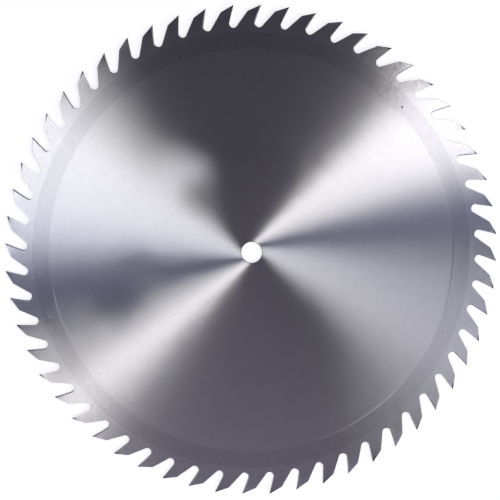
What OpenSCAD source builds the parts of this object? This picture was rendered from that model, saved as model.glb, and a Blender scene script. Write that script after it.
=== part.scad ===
// Solid steel circular saw blade with spring set, bevel ground teeth.
// It lies flat: the bore's axis is Z and the middle of the plate is at Z 0.
// Seen from +Z the teeth lead clockwise, and the first tip is on +Y.

/* [Plate] */
// Diameter over the tooth tips
blade_d = 700; // [660:5:760]
// Thickness of the plate
plate_t = 3.2; // [2.6:0.1:4]

/* [Bore] */
// Diameter of the arbor bore
bore_d = 30; // [20:1:60]
// Chamfer at both ends of the bore
bore_chamfer = 0.8; // [0.3:0.1:1.2]

/* [Teeth] */
// Number of teeth, an even number so that the set alternates all the way round
tooth_count = 56; // [50:2:60]
// Depth of the gullets below the tips
tooth_h = 32; // [28:0.5:36]
// Forward lean of a tooth's face from the radius through its tip
hook_angle = 17; // [12:1:20]
// Radius at the bottom of a gullet
gullet_r = 5.5; // [4:0.1:6.5]
// Length of the land behind a tip
land_l = 21; // [17:0.5:23]
// Angle at which the land falls away from the tip circle
clearance_angle = 26; // [22:1:30]

/* [Set] */
// Sideways set of a tip, to one face and the other in turn
tip_set = 0.8; // [0.3:0.1:1.2]
// Distance down a tooth's back from its heel to the line that it is bent on
bend_drop = 1.5; // [0.5:0.1:3]

/* [Grinding] */
// Angle ground across a tooth's face, on the inner side of its set
face_bevel = 28; // [10:1:32]
// Angle ground across a tooth's land, on the inner side of its set
land_bevel = 12; // [4:1:20]

/* [Rim band] */
// Width of the shallow ground band round the rim, on both faces
band_w = 25; // [10:1:40]
// Distance from the gullet bottoms in to the band
band_gap = 7; // [4:0.5:15]
// Depth of the band
band_depth = 0.1; // [0.05:0.01:0.2]
// Width of the slope along each edge of the band
band_shoulder = 1; // [0.5:0.1:2]

/* [Hardness mark] */
// Diameter of the hardness test dimple in the band
dimple_d = 3; // [2:0.1:4]
// Depth of the dimple
dimple_depth = 0.4; // [0.2:0.05:0.6]
// Distance from the band's outer edge in to the dimple
dimple_inset = 15; // [5:0.5:20]
// Clockwise angle from the first tip to the dimple
dimple_angle = 43.7; // [0:0.1:360]

/* [Hidden] */
$fn = 96;
// Reach of a cutting tool past the surface that it cuts
over = 2;
// How far a gullet's arc runs into the face and the back that it meets
gullet_sink = 0.02;

function along(a) = [cos(a), sin(a)];
function turned(p, a) = [p.x * cos(a) + p.y * sin(a), p.y * cos(a) - p.x * sin(a)];

tip_r = blade_d / 2;
root_r = tip_r - tooth_h;
pitch = 360 / tooth_count;
blank_t = plate_t + 2 * tip_set;
tip_z = blank_t / 2;
// Height of a tool that cuts right through the blank
through = 3 * blank_t;

// One tooth, with its tip on +Y: down is along its face, ahead is out of its face
tip = [0, tip_r];
down = along(-90 - hook_angle);
ahead = along(-hook_angle);
heel = tip - land_l * along(clearance_angle);

// The gullet ahead of it: an arc that touches its face and the next tooth's back
face_reach = tip_r * cos(hook_angle);
side_reach = tip_r * sin(hook_angle) - gullet_r;
face_l = face_reach - sqrt(pow(root_r + gullet_r, 2) - pow(side_reach, 2));
face_foot = tip + face_l * down;
gullet_c = face_foot + gullet_r * ahead;
next_heel = turned(heel, pitch);
heel_to_c = gullet_c - next_heel;
back_angle = atan2(heel_to_c.y, heel_to_c.x) + asin(gullet_r / norm(heel_to_c));
back_l = sqrt(pow(norm(heel_to_c), 2) - pow(gullet_r, 2));
back_foot = next_heel + back_l * along(back_angle);

// The line that the tooth is bent on, square to its face
bend_back = heel + bend_drop * along(back_angle + pitch);
bend_l = (bend_back - tip) * down;
bend_face = tip + bend_l * down;
bend_w = (bend_face - bend_back) * ahead;
set_slope = tip_set / bend_l;
set_angle = atan(set_slope);

// The rim band and its dimple
band_out_r = root_r - band_gap;
band_in_r = band_out_r - band_w;
band_z = plate_t / 2 - band_depth;
dimple_ball_r = (pow(dimple_d / 2, 2) + pow(dimple_depth, 2)) / (2 * dimple_depth);
dimple_at = turned([0, band_out_r - dimple_inset], dimple_angle);

// Places children at one tooth, turned over on every second tooth
module at_tooth(k) {
    rotate(-k * pitch)
        if (k % 2 == 0) mirror([0, 0, 1]) children();
        else children();
}

// Places children at the face's end of the bend line, with +Y up the face
module at_bend() {
    translate(bend_face) rotate(-hook_angle) children();
}

// Places children at the tip's outer corner, with +X along the land and XY in the bent side
module at_land() {
    translate([tip.x, tip.y, tip_z]) rotate(-hook_angle) rotate([set_angle, 0, 0])
        rotate(hook_angle + clearance_angle) children();
}

// The whole outline: straight faces, lands and backs, and an arc at each gullet's bottom
module blade_outline() {
    difference() {
        polygon([for (k = [0 : tooth_count - 1])
            each [for (p = [tip, face_foot, back_foot, next_heel]) turned(p, k * pitch)]]);
        for (k = [0 : tooth_count - 1]) translate(turned(gullet_c, k * pitch)) circle(gullet_r + gullet_sink);
    }
}

// Draws a section square to the bend line and runs it across the tooth
module across_tooth() {
    at_bend() translate([-bend_w - over, 0, 0]) rotate([90, 0, 90])
        linear_extrude(bend_w + 2 * over) children();
}

// The metal that the set lifts above the plate, rising from the bend line to the tip
module set_rise() {
    across_tooth() polygon([
        [-over, plate_t / 2 - over * set_slope],
        [bend_l + over, plate_t / 2 + (bend_l + over) * set_slope],
        [bend_l + over, 0],
        [-over, 0]
    ]);
}

// The hollow that the set leaves under the same end
module set_hollow() {
    across_tooth() polygon([
        [-over, -plate_t / 2 - over * set_slope],
        [bend_l + over, -plate_t / 2 + (bend_l + over) * set_slope],
        [bend_l + over, -blank_t],
        [-over, -blank_t]
    ]);
}

// The toothed blank after its teeth have been set
module set_blank() {
    intersection() {
        linear_extrude(through, center = true) blade_outline();
        difference() {
            union() {
                cylinder(h = plate_t, r = tip_r + 2 * over, center = true);
                for (k = [0 : tooth_count - 1]) at_tooth(k) set_rise();
            }
            for (k = [0 : tooth_count - 1]) at_tooth(k) set_hollow();
        }
    }
}

// The wheel that grinds a tooth's face, rounded like the gullet and held at the bevel
module face_wheel() {
    wheel_r = gullet_r * cos(face_bevel);
    translate([gullet_c.x, gullet_c.y, tip_z]) rotate(-hook_angle) rotate([0, face_bevel, 0])
        linear_extrude(through, center = true) {
            circle(wheel_r);
            translate([-wheel_r, 0]) square([2 * wheel_r, face_l + over]);
        }
}

// The stroke that grinds the bevel across a land
module land_stroke() {
    at_land() rotate([-land_bevel, 0, 0])
        translate([-land_l - over, 0, -through / 2]) cube([land_l + 2 * over, 2 * over, through]);
}

// The cut that sinks the rim band into the upper face
module band_cut() {
    rotate_extrude() polygon([
        [band_in_r, plate_t / 2],
        [band_in_r + band_shoulder, band_z],
        [band_out_r - band_shoulder, band_z],
        [band_out_r, plate_t / 2],
        [band_out_r, plate_t / 2 + over],
        [band_in_r, plate_t / 2 + over]
    ]);
}

// The chamfer at the bore's upper end
module bore_chamfer_cut() {
    translate([0, 0, plate_t / 2 - bore_chamfer])
        cylinder(h = bore_chamfer + over, r1 = bore_d / 2, r2 = bore_d / 2 + bore_chamfer + over);
}

// The dimple left by the hardness test
module dimple_cut() {
    translate([dimple_at.x, dimple_at.y, band_z - dimple_depth + dimple_ball_r]) sphere(dimple_ball_r);
}

module saw_blade() {
    color("#b9babf") difference() {
        set_blank();
        for (k = [0 : tooth_count - 1]) at_tooth(k) face_wheel();
        for (k = [0 : tooth_count - 1]) at_tooth(k) land_stroke();
        cylinder(h = plate_t + 2 * over, d = bore_d, center = true);
        for (side = [0, 1]) mirror([0, 0, side]) {
            band_cut();
            bore_chamfer_cut();
        }
        dimple_cut();
    }
}

saw_blade();
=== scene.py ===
import math

import bmesh
import bpy
from mathutils import Matrix, Vector


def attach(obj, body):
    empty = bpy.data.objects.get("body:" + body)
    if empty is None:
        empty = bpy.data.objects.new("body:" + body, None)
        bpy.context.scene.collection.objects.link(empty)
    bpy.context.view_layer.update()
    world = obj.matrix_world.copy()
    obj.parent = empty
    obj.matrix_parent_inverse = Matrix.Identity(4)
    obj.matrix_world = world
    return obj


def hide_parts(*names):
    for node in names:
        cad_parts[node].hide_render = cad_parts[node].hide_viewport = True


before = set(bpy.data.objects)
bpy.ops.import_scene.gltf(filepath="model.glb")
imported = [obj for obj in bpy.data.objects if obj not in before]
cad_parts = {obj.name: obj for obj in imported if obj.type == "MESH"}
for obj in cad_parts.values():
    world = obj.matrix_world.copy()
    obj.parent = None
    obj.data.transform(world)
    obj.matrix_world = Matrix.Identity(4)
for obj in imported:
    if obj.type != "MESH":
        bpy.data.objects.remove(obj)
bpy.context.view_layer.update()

scene = bpy.context.scene
mm = 0.001
print("frame loaded")


# sRGB hex to the linear colour that Blender wants
def hexColour(text):
    levels = [int(text[i:i + 2], 16) / 255 for i in (1, 3, 5)]
    return tuple(c / 12.92 if c <= 0.04045 else ((c + 0.055) / 1.055) ** 2.4 for c in levels) + (1.0,)


# adds one node, sets its fields and values, links its inputs and hands back one of its outputs
def addNode(tree, kind, fields={}, values={}, links={}, out=0):
    node = tree.nodes.new(kind)
    for field, value in fields.items():
        setattr(node, field, value)
    for socket, value in values.items():
        node.inputs[socket].default_value = value
    for socket, source in links.items():
        tree.links.new(source, node.inputs[socket])
    return node.outputs[out] if node.outputs else None


# the blade's sizes in mm and degrees, the same as the solid's own, with what only the eye needs after them
blade = {
    "tipDia": 700, "plate": 3.2, "bore": 30, "boreChamfer": 0.8,
    "teeth": 56, "gulletDepth": 32, "hook": 17, "gulletRadius": 5.5, "land": 21, "clearance": 26,
    "tipSet": 0.8, "bendDrop": 1.5,  # spring set, to one side and the other in turn
    "faceBevel": 28, "landBevel": 12,  # ground on the inner side of the set
    "bandWidth": 25, "bandGap": 7, "bandDepth": 0.1,  # ground band round the rim
    "outerShoulder": 1, "innerShoulder": 1.6,  # its slopes; the inner is 1 in the solid, wider here to show
    "dimpleDia": 3, "dimpleDepth": 0.4, "dimpleInset": 15, "dimpleAngle": 43.7,  # hardness test
    "edgeBreak": 1.0, "cuttingEdge": 0.3, "breakSteps": 2,  # widths of the broken edges
    "scaledBothSides": 10,  # the dark wedge lies on the side that a tooth is set to; this one has it on both
    "plateRings": (160, 60),  # radii that keep the plate's faces short
    "wheelSteps": 8, "arcSteps": 9, "ringSteps": 8, "ballSteps": 96,
}


def direction(degrees):
    return Vector((math.cos(math.radians(degrees)), math.sin(math.radians(degrees))))


# a point turned clockwise round the bore
def turned(p, degrees):
    a = math.radians(degrees)
    return Vector((p.x * math.cos(a) + p.y * math.sin(a), p.y * math.cos(a) - p.x * math.sin(a)))


def plane(normal, point):
    return normal, normal.dot(point)


# the point where three planes meet, each given as its normal and its distance from the origin
def meeting(*planes):
    rows = Matrix([p[0] for p in planes])
    return rows.inverted() @ Vector([p[1] for p in planes])


# the tooth with its tip on +Y, set to +Z, and the gullet ahead of it
hook = math.radians(blade["hook"])
gulletRadius = blade["gulletRadius"]
tipRadius = blade["tipDia"] / 2
rootRadius = tipRadius - blade["gulletDepth"]
pitch = 360 / blade["teeth"]
half = blade["plate"] / 2
tipHeight = half + blade["tipSet"]
tip = Vector((0, tipRadius))
down = direction(-90 - blade["hook"])  # along the tooth's face
ahead = direction(-blade["hook"])  # out of the face
landLine = direction(blade["clearance"])
heel = tip - blade["land"] * landLine
sideReach = tipRadius * math.sin(hook) - gulletRadius
faceLength = tipRadius * math.cos(hook) - math.sqrt((rootRadius + gulletRadius) ** 2 - sideReach ** 2)
gulletCentre = tip + faceLength * down + gulletRadius * ahead
nextHeel = turned(heel, pitch)
toCentre = gulletCentre - nextHeel
backAngle = math.degrees(math.atan2(toCentre.y, toCentre.x) + math.asin(gulletRadius / toCentre.length))
backFoot = nextHeel + math.sqrt(toCentre.length ** 2 - gulletRadius ** 2) * direction(backAngle)
bendBack = heel + blade["bendDrop"] * direction(backAngle + pitch)
bendDepth = (bendBack - tip).dot(down)
setSlope = blade["tipSet"] / bendDepth
faceLean = math.tan(math.radians(blade["faceBevel"]))
bandOut = rootRadius - blade["bandGap"]
bandIn = bandOut - blade["bandWidth"]


# the tip's and the heel's corner on one side of the bent end
def bentCorners(z):
    tipPoint = Vector((tip.x, tip.y, tipHeight))
    slope = Vector((setSlope * down.x, setSlope * down.y, 1))
    side = plane(slope, Vector((tip.x, tip.y, z + blade["tipSet"])))
    face = plane(Vector((ahead.x, ahead.y, -faceLean)), tipPoint)
    spin = (Matrix.Rotation(-hook, 3, "Z") @ Matrix.Rotation(math.atan(setSlope), 3, "X")
            @ Matrix.Rotation(hook + math.radians(blade["clearance"]), 3, "Z")
            @ Matrix.Rotation(math.radians(-blade["landBevel"]), 3, "X"))
    land = plane(spin @ Vector((0, 1, 0)), tipPoint)
    backLine = direction(backAngle + pitch)
    back = plane(Vector((backLine.y, -backLine.x, 0)), Vector((heel.x, heel.y, 0)))
    return meeting(side, face, land), meeting(side, land, back)


# one side of a tooth and of the gullet ahead of it, at a height in the flat of the plate
def sideOutline(z):
    cut = faceLean * (tipHeight - z)  # how far the face wheel has cut in at this height
    squash = math.cos(math.radians(blade["faceBevel"]))  # the tilted wheel's round, seen from above

    def wheelPoint(t):
        return Vector((gulletRadius * math.cos(t) - cut, gulletRadius * squash * math.sin(t)))

    # the wheel's round is followed until it runs into the gullet's own round
    low, high = math.pi, 1.5 * math.pi
    for halving in range(50):
        middle = (low + high) / 2
        if wheelPoint(middle).length > gulletRadius:
            low = middle
        else:
            high = middle
    steps = blade["wheelSteps"]
    spots = [wheelPoint(math.pi + (low - math.pi) * i / steps) for i in range(steps + 1)]
    wheel = [gulletCentre + p.x * ahead - p.y * down for p in spots]

    # then the gullet's round, by way of its bottom, up to the next tooth's back
    bottomAngle = math.atan2(-gulletCentre.y, -gulletCentre.x)
    ends = []
    for p in (wheel[-1] - gulletCentre, backFoot - gulletCentre):
        angle = math.atan2(p.y, p.x)
        ends.append(angle - 2 * math.pi * round((angle - bottomAngle) / (2 * math.pi)))
    steps = blade["arcSteps"]
    shares = [i / steps for i in range(1, steps + 1)]
    angles = [ends[0] + (bottomAngle - ends[0]) * share for share in shares]
    angles += [bottomAngle + (ends[1] - bottomAngle) * share for share in shares]
    arc = [gulletCentre + gulletRadius * Vector((math.cos(a), math.sin(a))) for a in angles]

    bendFace = tip + bendDepth * down - cut * ahead
    tipCorner, heelCorner = bentCorners(z)
    return {"tip": tipCorner, "heel": heelCorner,
            "flat": [Vector((p.x, p.y, z)) for p in [bendBack, bendFace] + wheel + arc],
            "bottom": 2 + blade["wheelSteps"] + blade["arcSteps"]}  # which point of the flat lies there


# the plate is not quite flat, so over a few places the grinding leans and bends the bright rays:
# radius and reach in mm, turn in degrees clockwise from the first tip, lean in degrees
waves = [
    {"radius": 150, "turn": 322, "reach": 75, "lean": -16},  # the upper left ray bulges over the dark
    {"radius": 125, "turn": 350, "reach": 95, "lean": -16},  # and on towards the top
    {"radius": 115, "turn": 313, "reach": 45, "lean": 8},  # with a notch below the bulge
    {"radius": 200, "turn": 246, "reach": 65, "lean": 6},  # the dark ray at the left sags
    {"radius": 165, "turn": 263, "reach": 50, "lean": -5},  # and swells up nearer the bore
    {"radius": 320, "turn": 145, "reach": 165, "lean": -6},  # the lower right ray spreads at the rim
    {"radius": 105, "turn": 135, "reach": 115, "lean": 4},  # and is drawn in towards the bore
    {"radius": 345, "turn": 242, "reach": 60, "lean": -9},  # two rays run on over the teeth
    {"radius": 350, "turn": 33, "reach": 75, "lean": 5},
]
# stray scratches from handling: real ones are a few tenths of a mm wide, drawn wider so as to show;
# sizes in mm, the degrees they lean off the grinding, and how light they are beside it
rimScuffs = [
    {"angle": 40, "length": 14, "width": 1.8, "lean": 4, "tone": 1.06},
    {"angle": -22, "length": 12, "width": 1.8, "lean": -4, "tone": 0.94},
    {"angle": 95, "length": 12, "width": 1.8, "lean": 4, "tone": 1.05},
    {"angle": 70, "length": 14, "width": 1.8, "lean": -4, "tone": 0.95},
]
plateScuffs = [
    {"angle": 40, "length": 40, "width": 1.6, "lean": 3, "tone": 1.03},
    {"angle": -30, "length": 36, "width": 1.6, "lean": -3, "tone": 0.97},
]
# how the two kinds of grinding are drawn: spiral and depth in mm, wander in degrees,
# scratch and pass in mm across and changes round the blade;
# real scratches of about a tenth of a mm are drawn in bundles so as to show
discGround = {
    "anisotropy": 1.0, "spiral": 8.2, "depth": 0.01, "waves": waves,
    "rough": (0.277, 0.293),  # ground steel; below 0.276 the denoiser draws false grain
}
wheelGround = {
    "spiral": 8.2, "depth": 0.02, "wander": 1.15, "paintedGlint": (0.97, 1.03),
    "scratch": (0.4, 90), "pass": (3, 6),
}
finishes = {
    # plate steel ground in circles on a turning table: each scratch spreads the light across itself,
    # so lamps show as bright rays from the bore outwards
    "plate": {**discGround, "material": "tableGroundSteel", "colour": "#cbcbcf", "tone": (0.98, 1.02),
              "wander": 2, "paintedGlint": (0.965, 1.035), "scratch": (2.2, 60), "pass": (12, 10),
              "scuffs": plateScuffs},
    # rubbed at a lean where the band's wheel ran out: a thin line that lights up a little beside a ray
    "lip": {**discGround, "material": "burnishedSteel", "colour": "#cbcbcf", "tone": (0.98, 1.02),
            "spiral": -20, "wander": 2, "paintedGlint": (0.95, 1.05), "scratch": (2.2, 60), "pass": (12, 10)},
    # ground a second time, finer: a shade darker than the plate, with stray scratches
    "band": {**discGround, "material": "bandGroundSteel", "colour": "#c0c0c5", "tone": (0.975, 1.025),
             "wander": 2.9, "paintedGlint": (0.945, 1.055), "scratch": (2.4, 120), "pass": (8, 30),
             "scuffs": rimScuffs},
    # ground like the plate and handled most: mottled, with a dark wedge drawn on the thin ends of the lands
    "tooth": {**discGround, "material": "handledGroundSteel", "colour": "#cacace", "tone": (0.97, 1.03),
              "rough": (0.277, 0.295), "wander": 3.4, "paintedGlint": (0.93, 1.07), "scratch": (2.4, 130),
              "pass": (8, 30), "scuffs": rimScuffs,
              # the dark wedge on the lands: sizes in mm, and the colour and roughness drawn there
              "scale": {"width": 3, "length": 13, "ragged": 0.8, "fade": 0.3,  # in mm
                        "strength": 0.95, "colour": "#46444a", "rough": 0.6}},
    # cut by the sharpening wheel: duller, with a short soft gleam; its colour is held well below the
    # plate's as painted shade, standing in for the dark reflections these facets show
    "bevel": {**wheelGround, "material": "wheelGroundSteelPaintedDarker", "colour": "#85858c", "rough": (0.30, 0.36),
              "anisotropy": 0.5, "tone": (0.95, 1.03)},
    # sheared, then stoned at the edges, with hardly a gleam; drawn near black as painted shade, so the
    # walls and the broken edges read as dark outlines
    "wall": {**wheelGround, "material": "shearedSteelPaintedDark", "colour": "#29292d", "rough": (0.42, 0.5),
             "anisotropy": 0.0, "tone": (0.9, 1.05)},
}
finishNames = list(finishes)
grainNoise = {"Scale": 1.0, "Detail": 2.0, "Roughness": 0.6}
scuffNoise = {"Scale": 1.0, "Detail": 1.0}
grainReach = {"From Min": 0.25, "From Max": 0.75}  # where most of a noise texture's values lie
scuffReach = {"From Min": 0.54, "From Max": 0.7}  # the crests that count as a scratch
multiply = {"data_type": "RGBA", "blend_type": "MULTIPLY"}


def steel(s):
    material = bpy.data.materials.new(s["material"])
    material.use_nodes = True
    tree = material.node_tree
    tree.nodes.clear()
    place = addNode(tree, "ShaderNodeTexCoord", out="Object")
    axes = addNode(tree, "ShaderNodeSeparateXYZ", links={0: place}).node.outputs
    flat = addNode(tree, "ShaderNodeCombineXYZ", links={0: axes[0], 1: axes[1]})
    radius = addNode(tree, "ShaderNodeVectorMath", {"operation": "LENGTH"}, links={0: flat}, out="Value")
    outward = addNode(tree, "ShaderNodeVectorMath", {"operation": "NORMALIZE"}, links={0: flat})
    turn = addNode(tree, "ShaderNodeMath", {"operation": "ARCTAN2"}, links={0: axes[0], 1: axes[1]})

    # a grain with one size in mm across the scratches and a number of changes round the blade along them
    def grain(across, changes):
        spread = addNode(tree, "ShaderNodeMath", {"operation": "DIVIDE"}, {1: across * mm}, {0: radius})
        ring = addNode(tree, "ShaderNodeVectorMath", {"operation": "SCALE"},
                       {"Scale": changes}, {0: outward})
        lift = addNode(tree, "ShaderNodeCombineXYZ", links={2: spread})
        spot = addNode(tree, "ShaderNodeVectorMath", {"operation": "ADD"}, links={0: ring, 1: lift})
        return addNode(tree, "ShaderNodeTexNoise", {}, grainNoise, {"Vector": spot}, "Fac")

    fine = grain(*s["scratch"])
    broad = grain(*s["pass"])
    wander = math.radians(s["wander"])
    spans = {"wander": (fine, -wander, wander), "paintedGlint": (fine, *s["paintedGlint"]),
             "rough": (broad, *s["rough"]), "tone": (broad, *s["tone"])}
    drawn = {}
    for name, (pattern, low, high) in spans.items():
        drawn[name] = addNode(tree, "ShaderNodeMapRange", {},
                              {**grainReach, "To Min": low, "To Max": high}, {"Value": pattern})

    # the direction across the scratches: the wheel ran out in a spiral, so it leans off the radius,
    # by more near the bore, and it wanders a little from pass to pass
    share = addNode(tree, "ShaderNodeMath", {"operation": "DIVIDE"}, {0: s["spiral"] * mm}, {1: radius})
    heading = addNode(tree, "ShaderNodeMath", {"operation": "ARCSINE"}, links={0: share})
    leans = [turn, drawn["wander"]]
    for wave in s.get("waves", []):
        spot = turned(Vector((0, wave["radius"] * mm)), wave["turn"])
        off = addNode(tree, "ShaderNodeVectorMath", {"operation": "DISTANCE"}, {1: (spot.x, spot.y, 0)},
                      {0: flat}, "Value")
        leans.append(addNode(tree, "ShaderNodeMapRange", {"interpolation_type": "SMOOTHSTEP"},
                             {"From Min": wave["reach"] * mm, "From Max": 0.0, "To Min": 0.0,
                              "To Max": math.radians(wave["lean"])}, {"Value": off}))
    # the painted glint: a fine lighter and darker speckle in the colour, standing in for the gleam of
    # single scratches
    tones = [drawn["paintedGlint"]]
    for scuff in s.get("scuffs", []):
        line = addNode(tree, "ShaderNodeMapping", {"vector_type": "TEXTURE"},
                       {"Rotation": (0, 0, math.radians(scuff["angle"])),
                        "Scale": (scuff["length"] * mm, scuff["width"] * mm, 1)}, {"Vector": flat})
        crest = addNode(tree, "ShaderNodeTexNoise", {}, scuffNoise, {"Vector": line}, "Fac")
        leans.append(addNode(tree, "ShaderNodeMapRange", {},
                             {**scuffReach, "To Min": 0.0, "To Max": math.radians(scuff["lean"])},
                             {"Value": crest}))
        tones.append(addNode(tree, "ShaderNodeMapRange", {},
                             {**scuffReach, "To Min": 1.0, "To Max": scuff["tone"]}, {"Value": crest}))
    for lean in leans:
        heading = addNode(tree, "ShaderNodeMath", {"operation": "ADD"}, links={0: heading, 1: lean})
    headX = addNode(tree, "ShaderNodeMath", {"operation": "SINE"}, links={0: heading})
    headY = addNode(tree, "ShaderNodeMath", {"operation": "COSINE"}, links={0: heading})
    across = addNode(tree, "ShaderNodeCombineXYZ", links={0: headX, 1: headY})

    # inputs 6 and 7 of a colour mix are its two colours, and output 2 is its result
    colour = addNode(tree, "ShaderNodeMix", multiply, {0: 1.0, 6: hexColour(s["colour"])},
                     {7: drawn["tone"]}, 2)
    for tone in tones:
        colour = addNode(tree, "ShaderNodeMix", multiply, {0: 1.0}, {6: colour, 7: tone}, 2)
    groove = addNode(tree, "ShaderNodeBump", {}, {"Strength": 1.0, "Distance": s["depth"] * mm},
                     {"Height": fine})
    surface = addNode(tree, "ShaderNodeBsdfPrincipled", {},
                      {"Metallic": 1.0, "Anisotropic": s["anisotropy"]},
                      {"Base Color": colour, "Roughness": drawn["rough"],
                       "Tangent": across, "Normal": groove})
    if "scale" in s:
        # a dark, rough wedge is drawn over the land's thin outer edge, widest at the tip
        scale = s["scale"]
        toothPlace = addNode(tree, "ShaderNodeUVMap", {"uv_map": "tooth"})
        along = addNode(tree, "ShaderNodeSeparateXYZ", links={0: toothPlace}).node.outputs
        wedge = addNode(tree, "ShaderNodeMath", {"operation": "MULTIPLY_ADD"},
                        {1: -scale["width"] / scale["length"], 2: scale["width"]}, {0: along[0]})
        inside = addNode(tree, "ShaderNodeMath", {"operation": "SUBTRACT"}, links={0: wedge, 1: along[1]})
        ragged = addNode(tree, "ShaderNodeMath", {"operation": "MULTIPLY_ADD"},
                         {1: scale["ragged"], 2: -scale["ragged"] / 2}, {0: fine})
        inside = addNode(tree, "ShaderNodeMath", {"operation": "ADD"}, links={0: inside, 1: ragged})
        mask = addNode(tree, "ShaderNodeMapRange", {},
                       {"From Min": 0.0, "From Max": scale["fade"],
                        "To Min": 0.0, "To Max": scale["strength"]}, {"Value": inside})
        darkWedgeSurface = addNode(tree, "ShaderNodeBsdfPrincipled", {},
                        {"Metallic": 1.0, "Base Color": hexColour(scale["colour"]),
                         "Roughness": scale["rough"]})
        surface = addNode(tree, "ShaderNodeMixShader", links={0: mask, 1: surface, 2: darkWedgeSurface})
    addNode(tree, "ShaderNodeOutputMaterial", links={"Surface": surface})
    return material


steels = [steel(finishes[name]) for name in finishNames]
print("steel finishes made:", len(steels))

bm = bmesh.new()
breakWidth = bm.edges.layers.float.new("bevel_weight_edge")
toothMap = bm.loops.layers.uv.new("tooth")
offMap = 99  # a place on the tooth's map that is far from the dark wedge


def addFace(points, finish):
    face = bm.faces.new(points)
    face.material_index = finishNames.index(finish)
    return face


# the same face seen from above or from below
def wound(points, side):
    return points if side == 1 else points[::-1]


def breakEdge(a, b, width):
    edge = bm.edges.get((a, b))
    if edge:
        edge[breakWidth] = width


# the side that a tooth is set to: even teeth to -Z, odd teeth to +Z
def setSide(k):
    return -1 if k % 2 == 0 else 1


def toothVert(p, k):
    spot = turned(p.xy, k * pitch)
    return bm.verts.new((spot.x, spot.y, p.z * setSide(k)))


# every tooth's points on both sides
toothSides = {z: sideOutline(z * half) for z in (-1, 1)}
outline = {-1: [], 1: []}
for k in range(blade["teeth"]):
    for side in (-1, 1):
        local = toothSides[side * setSide(k)]
        outline[side].append({"tip": toothVert(local["tip"], k), "heel": toothVert(local["heel"], k),
                              "flat": [toothVert(p, k) for p in local["flat"]], "bottom": local["bottom"]})

# the rings inside the teeth, from the rim band in to the bore: radius, height and the finish inside each
bandFloor = half - blade["bandDepth"]
boreRadius = blade["bore"] / 2
ringList = [(bandOut, half, "band"), (bandOut - blade["outerShoulder"], bandFloor, "band"),
            (bandIn + blade["innerShoulder"], bandFloor, "lip"), (bandIn, half, "plate")]
ringList += [(radius, half, "plate") for radius in blade["plateRings"]]
ringList += [(boreRadius + blade["boreChamfer"], half, "wall"),
             (boreRadius, half - blade["boreChamfer"], "wall")]
ringCount = blade["teeth"] * blade["ringSteps"]
bottomTurn = math.degrees(math.atan2(gulletCentre.x, gulletCentre.y))
rings = {}
for side in (-1, 1):
    rings[side] = []
    for radius, height, finish in ringList:
        spots = [turned(Vector((0, radius)), bottomTurn + 360 * i / ringCount) for i in range(ringCount)]
        rings[side].append([bm.verts.new((p.x, p.y, side * height)) for p in spots])

for k in range(blade["teeth"]):
    after = (k + 1) % blade["teeth"]
    for side in (-1, 1):
        own, before = outline[side][k], outline[side][k - 1]
        # the bent end, with a map in mm from the tip: along the land, and below it
        scaled = side == setSide(k) or k == blade["scaledBothSides"]
        end = addFace(wound([own["tip"], own["flat"][1], own["flat"][0], own["heel"]], side), "tooth")
        for loop in end.loops:
            p = turned(loop.vert.co.xy, -k * pitch) - tip
            below = -p.dot(Vector((-landLine.y, landLine.x)))
            loop[toothMap].uv = (-p.dot(landLine), below if scaled else offMap)
        # the flat of the tooth, from one gullet's bottom to the next
        first = (k - 1) * blade["ringSteps"]
        arc = [rings[side][0][(first + i) % ringCount] for i in range(blade["ringSteps"] + 1)]
        root = before["flat"][before["bottom"]:] + own["flat"][:own["bottom"] + 1]
        flat = addFace(wound(arc + root[::-1], side), "tooth")
        for loop in flat.loops:
            loop[toothMap].uv = (offMap, offMap)

    # the walls: ground bevels on the face and the land, sheared walls on the back and in the gullet
    top, low = outline[1][k], outline[-1][k]
    topNext, lowNext = outline[1][after], outline[-1][after]
    for i in range(1, len(top["flat"]) - 1):
        addFace([top["flat"][i], low["flat"][i], low["flat"][i + 1], top["flat"][i + 1]],
                "bevel" if i <= blade["wheelSteps"] + 1 else "wall")
    addFace([top["flat"][-1], low["flat"][-1], lowNext["flat"][0], topNext["flat"][0]], "wall")
    addFace([top["flat"][0], low["flat"][0], low["heel"], top["heel"]], "wall")
    addFace([top["heel"], low["heel"], low["tip"], top["tip"]], "bevel")
    addFace([top["tip"], low["tip"], low["flat"][1], top["flat"][1]], "bevel")

    # broken edges: keen along the cutting edges, half as wide as the rest on their other side
    for side in (-1, 1):
        own, following = outline[side][k], outline[side][after]
        keen = blade["cuttingEdge"] if side == setSide(k) else blade["edgeBreak"] / 2
        breakEdge(own["heel"], own["tip"], keen)
        breakEdge(own["tip"], own["flat"][1], keen)
        breakEdge(own["flat"][0], own["heel"], blade["edgeBreak"])
        breakEdge(own["flat"][-1], following["flat"][0], blade["edgeBreak"])
        for i in range(1, len(own["flat"]) - 1):
            onFace = i < 3  # the straight face and the first step of the round under it
            breakEdge(own["flat"][i], own["flat"][i + 1], keen if onFace else blade["edgeBreak"])

# rim band, plate and bore
for j in range(ringCount):
    after = (j + 1) % ringCount
    for side in (-1, 1):
        for (radius, height, finish), outer, inner in zip(ringList, rings[side], rings[side][1:]):
            addFace(wound([outer[j], inner[j], inner[after], outer[after]], -side), finish)
    top, low = rings[1][-1], rings[-1][-1]
    addFace([top[j], low[j], low[after], top[after]], "wall")

bmesh.ops.recalc_face_normals(bm, faces=bm.faces)
bmesh.ops.scale(bm, vec=(mm, mm, mm), verts=bm.verts)
openEdges = sum(1 for edge in bm.edges if len(edge.link_faces) != 2)
mesh = bpy.data.meshes.new("sawBlade")
bm.to_mesh(mesh)
bm.free()
for material in steels:
    mesh.materials.append(material)
mesh.shade_smooth()
sawBlade = bpy.data.objects.new("sawBlade", mesh)
scene.collection.objects.link(sawBlade)
print("blade mesh:", len(mesh.polygons), "faces,", openEdges, "open edges")

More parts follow.
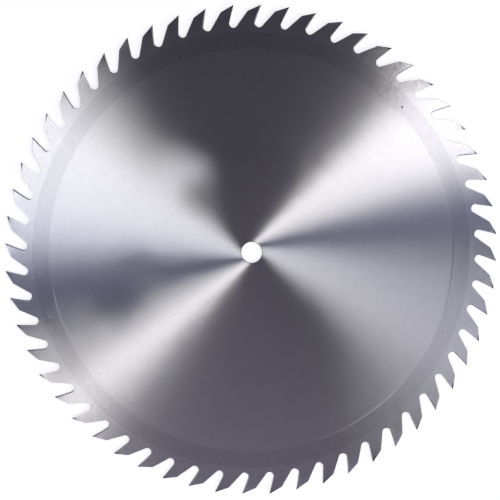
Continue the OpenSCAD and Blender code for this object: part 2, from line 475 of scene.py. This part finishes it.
# the broken edges: the weights are widths in mm, so the modifier's own width is 1 mm
edgeBreak = sawBlade.modifiers.new("edgeBreak", "BEVEL")
edgeBreak.limit_method = "WEIGHT"
edgeBreak.offset_type = "OFFSET"
edgeBreak.width = 1 * mm
edgeBreak.segments = blade["breakSteps"]
edgeBreak.use_clamp_overlap = True
# the broken edges take the wall's near-black colour: painted shade that draws a dark outline round the
# blade
edgeBreak.material = finishNames.index("wall")

# the hardness test's dimple, cut by a ball
dimpleRadius, dimpleDepth = blade["dimpleDia"] / 2, blade["dimpleDepth"]
ballRadius = (dimpleRadius ** 2 + dimpleDepth ** 2) / (2 * dimpleDepth)
spot = turned(Vector((0, bandOut - blade["dimpleInset"])), blade["dimpleAngle"])
ball = bmesh.new()
ballSteps = blade["ballSteps"]
bmesh.ops.create_uvsphere(ball, u_segments=ballSteps, v_segments=ballSteps * 2 // 3,
                          radius=ballRadius * mm)
# the dimple takes the bevel's darkened colour, the same painted shade
for face in ball.faces:
    face.material_index = finishNames.index("bevel")
ballMesh = bpy.data.meshes.new("dimpleBall")
ball.to_mesh(ballMesh)
ball.free()
for material in steels:
    ballMesh.materials.append(material)
dimpleBall = bpy.data.objects.new("dimpleBall", ballMesh)
dimpleBall.location = Vector((spot.x, spot.y, bandFloor - dimpleDepth + ballRadius)) * mm
scene.collection.objects.link(dimpleBall)
dent = sawBlade.modifiers.new("dimple", "BOOLEAN")
dent.operation = "DIFFERENCE"
dent.solver = "EXACT"
dent.object = dimpleBall

# the big faces keep their flat shading up to the broken edges
flatten = sawBlade.modifiers.new("keepFacesFlat", "WEIGHTED_NORMAL")
flatten.mode = "FACE_AREA"
flatten.weight = 100  # the largest face at a corner decides
flatten.keep_sharp = True
bpy.context.view_layer.update()
solved = bpy.data.meshes.new_from_object(sawBlade.evaluated_get(bpy.context.evaluated_depsgraph_get()))
sawBlade.modifiers.clear()
sawBlade.data = solved
bpy.data.objects.remove(dimpleBall)
print("edges broken and dimple cut:", len(solved.polygons), "faces")

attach(sawBlade, "root")
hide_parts("saw_blade")

# a matte white board just under the set tips: no gleam, only the blade's soft shadow;
# its glow brings it up to white in the picture and in the steel, and puts no light on the blade
board = {"size": 40.0, "colour": "#e6e6e8", "glow": 0.62}  # size in m
edge = board["size"] / 2
floorMesh = bpy.data.meshes.new("floor")
corners = [(-edge, -edge, 0), (edge, -edge, 0), (edge, edge, 0), (-edge, edge, 0)]
floorMesh.from_pydata(corners, [], [(0, 1, 2, 3)])
floor = bpy.data.objects.new("floor", floorMesh)
floor.location.z = -tipHeight * mm
scene.collection.objects.link(floor)
boardMaterial = bpy.data.materials.new("matteWhiteBoard")
boardMaterial.use_nodes = True
tree = boardMaterial.node_tree
tree.nodes.clear()
rays = addNode(tree, "ShaderNodeLightPath").node.outputs
seen = rays["Is Camera Ray"]
for ray in ("Is Glossy Ray", "Is Transmission Ray"):
    seen = addNode(tree, "ShaderNodeMath", {"operation": "MAXIMUM"}, links={0: seen, 1: rays[ray]})
glow = addNode(tree, "ShaderNodeMath", {"operation": "MULTIPLY"}, {1: board["glow"]}, {0: seen})
matte = addNode(tree, "ShaderNodeBsdfDiffuse", {}, {"Color": hexColour(board["colour"])})
lift = addNode(tree, "ShaderNodeEmission", {}, {"Color": hexColour("#ffffff")}, {"Strength": glow})
both = addNode(tree, "ShaderNodeAddShader", links={0: matte, 1: lift})
addNode(tree, "ShaderNodeOutputMaterial", links={"Surface": both})
floorMesh.materials.append(boardMaterial)
print("floor laid")

# softboxes round the blade: azimuth in degrees clockwise from +Y, fromUp in degrees from straight up,
# distance and size in m; the boxes make the bright rays, and the fills lift and cool the dark ones
lamps = {
    "keyBox": {"azimuth": 68, "fromUp": 24.5, "distance": 4.5, "roll": -19,
               "width": 0.94, "height": 1.05, "radiance": 10.1, "colour": "#fffdfc"},
    "backBox": {"azimuth": 215, "fromUp": 22, "distance": 2.4, "roll": 30,
                "width": 0.12, "height": 0.51, "radiance": 7.7, "colour": "#fffafa"},
    "sideBox": {"azimuth": 282, "fromUp": 17, "distance": 2.4, "roll": -30,
                "width": 0.7, "height": 0.48, "radiance": 5.8, "colour": "#fffefd"},
    "lowFill": {"azimuth": 172, "fromUp": 44, "distance": 2.4, "roll": 18,
                "width": 2.1, "height": 1.15, "radiance": 0.87, "colour": "#f0e6ff"},
    "rightFill": {"azimuth": 105, "fromUp": 67, "distance": 2.4, "roll": 45,
                  "width": 2.75, "height": 1.05, "radiance": 2.65, "colour": "#e9e7ff"},
    "blueFill": {"azimuth": 263, "fromUp": 30, "distance": 2.4, "roll": -9,
                 "width": 0.34, "height": 1.15, "radiance": 2.0, "colour": "#e2e6ff"},
    "duskFill": {"azimuth": 247, "fromUp": 30, "distance": 2.4, "roll": 0,
                 "width": 0.3, "height": 1.2, "radiance": 0.2, "colour": "#6474ff"},
    "coolFill": {"azimuth": 85, "fromUp": 33, "distance": 2.4, "roll": 0,
                 "width": 0.34, "height": 1.2, "radiance": 0.36, "colour": "#6474ff"},
}
for name, s in lamps.items():
    azimuth, fromUp, roll = (math.radians(s[angle]) for angle in ("azimuth", "fromUp", "roll"))
    aside = math.sin(fromUp)
    outward = Vector((aside * math.sin(azimuth), aside * math.cos(azimuth), math.cos(fromUp)))
    level = Vector((math.cos(azimuth), -math.sin(azimuth), 0))
    rising = outward.cross(level)
    if rising.z < 0:
        rising = -rising
    widthLine = level * math.cos(roll) + rising * math.sin(roll)
    heightLine = outward.cross(widthLine)
    box = bpy.data.lights.new(name, "AREA")
    box.shape = "RECTANGLE"
    box.size, box.size_y = s["width"], s["height"]
    box.energy = s["radiance"] * math.pi * s["width"] * s["height"]
    box.color = hexColour(s["colour"])[:3]
    lamp = bpy.data.objects.new(name, box)
    facing = Matrix((widthLine, heightLine, outward)).transposed().to_4x4()
    lamp.matrix_world = Matrix.Translation(outward * s["distance"]) @ facing
    scene.collection.objects.link(lamp)

# a dim room: grey walls up to a height, given as the sine of the angle from the floor, and dark above
room = {"walls": "#9090aa", "ceiling": "#0c0c10", "wallTop": 0.45, "fade": 0.12}
world = bpy.data.worlds.new("dimRoom")
world.use_nodes = True
tree = world.node_tree
tree.nodes.clear()
aim = addNode(tree, "ShaderNodeTexCoord", out="Generated")
height = addNode(tree, "ShaderNodeSeparateXYZ", links={0: aim}, out=2)
above = addNode(tree, "ShaderNodeMapRange", {"interpolation_type": "SMOOTHSTEP"},
                {"From Min": room["wallTop"], "From Max": room["wallTop"] + room["fade"],
                 "To Min": 0.0, "To Max": 1.0}, {"Value": height})
walls = addNode(tree, "ShaderNodeMix", {"data_type": "RGBA"},
                {6: hexColour(room["walls"]), 7: hexColour(room["ceiling"])}, {0: above}, 2)
air = addNode(tree, "ShaderNodeBackground", {}, {"Strength": 1.0}, {"Color": walls})
addNode(tree, "ShaderNodeOutputWorld", links={"Surface": air})
scene.world = world
print("lamps hung:", len(lamps))

# the camera, from where the blade's outline and bore were seen: lengths in m, angles in degrees
view = {"place": (-0.07047, 0.24112, 2.56463), "turns": (-5.3532, -1.3069, 2.2723), "angle": 15.705,
        "nearest": 0.05, "farthest": 100}
lens = bpy.data.cameras.new("camera")
lens.sensor_fit = "HORIZONTAL"
lens.angle = math.radians(view["angle"])
lens.clip_start, lens.clip_end = view["nearest"], view["farthest"]
camera = bpy.data.objects.new("camera", lens)
camera.location = view["place"]
camera.rotation_euler = [math.radians(a) for a in view["turns"]]
scene.collection.objects.link(camera)
scene.camera = camera
scene.view_settings.view_transform = "Standard"
print("camera set")
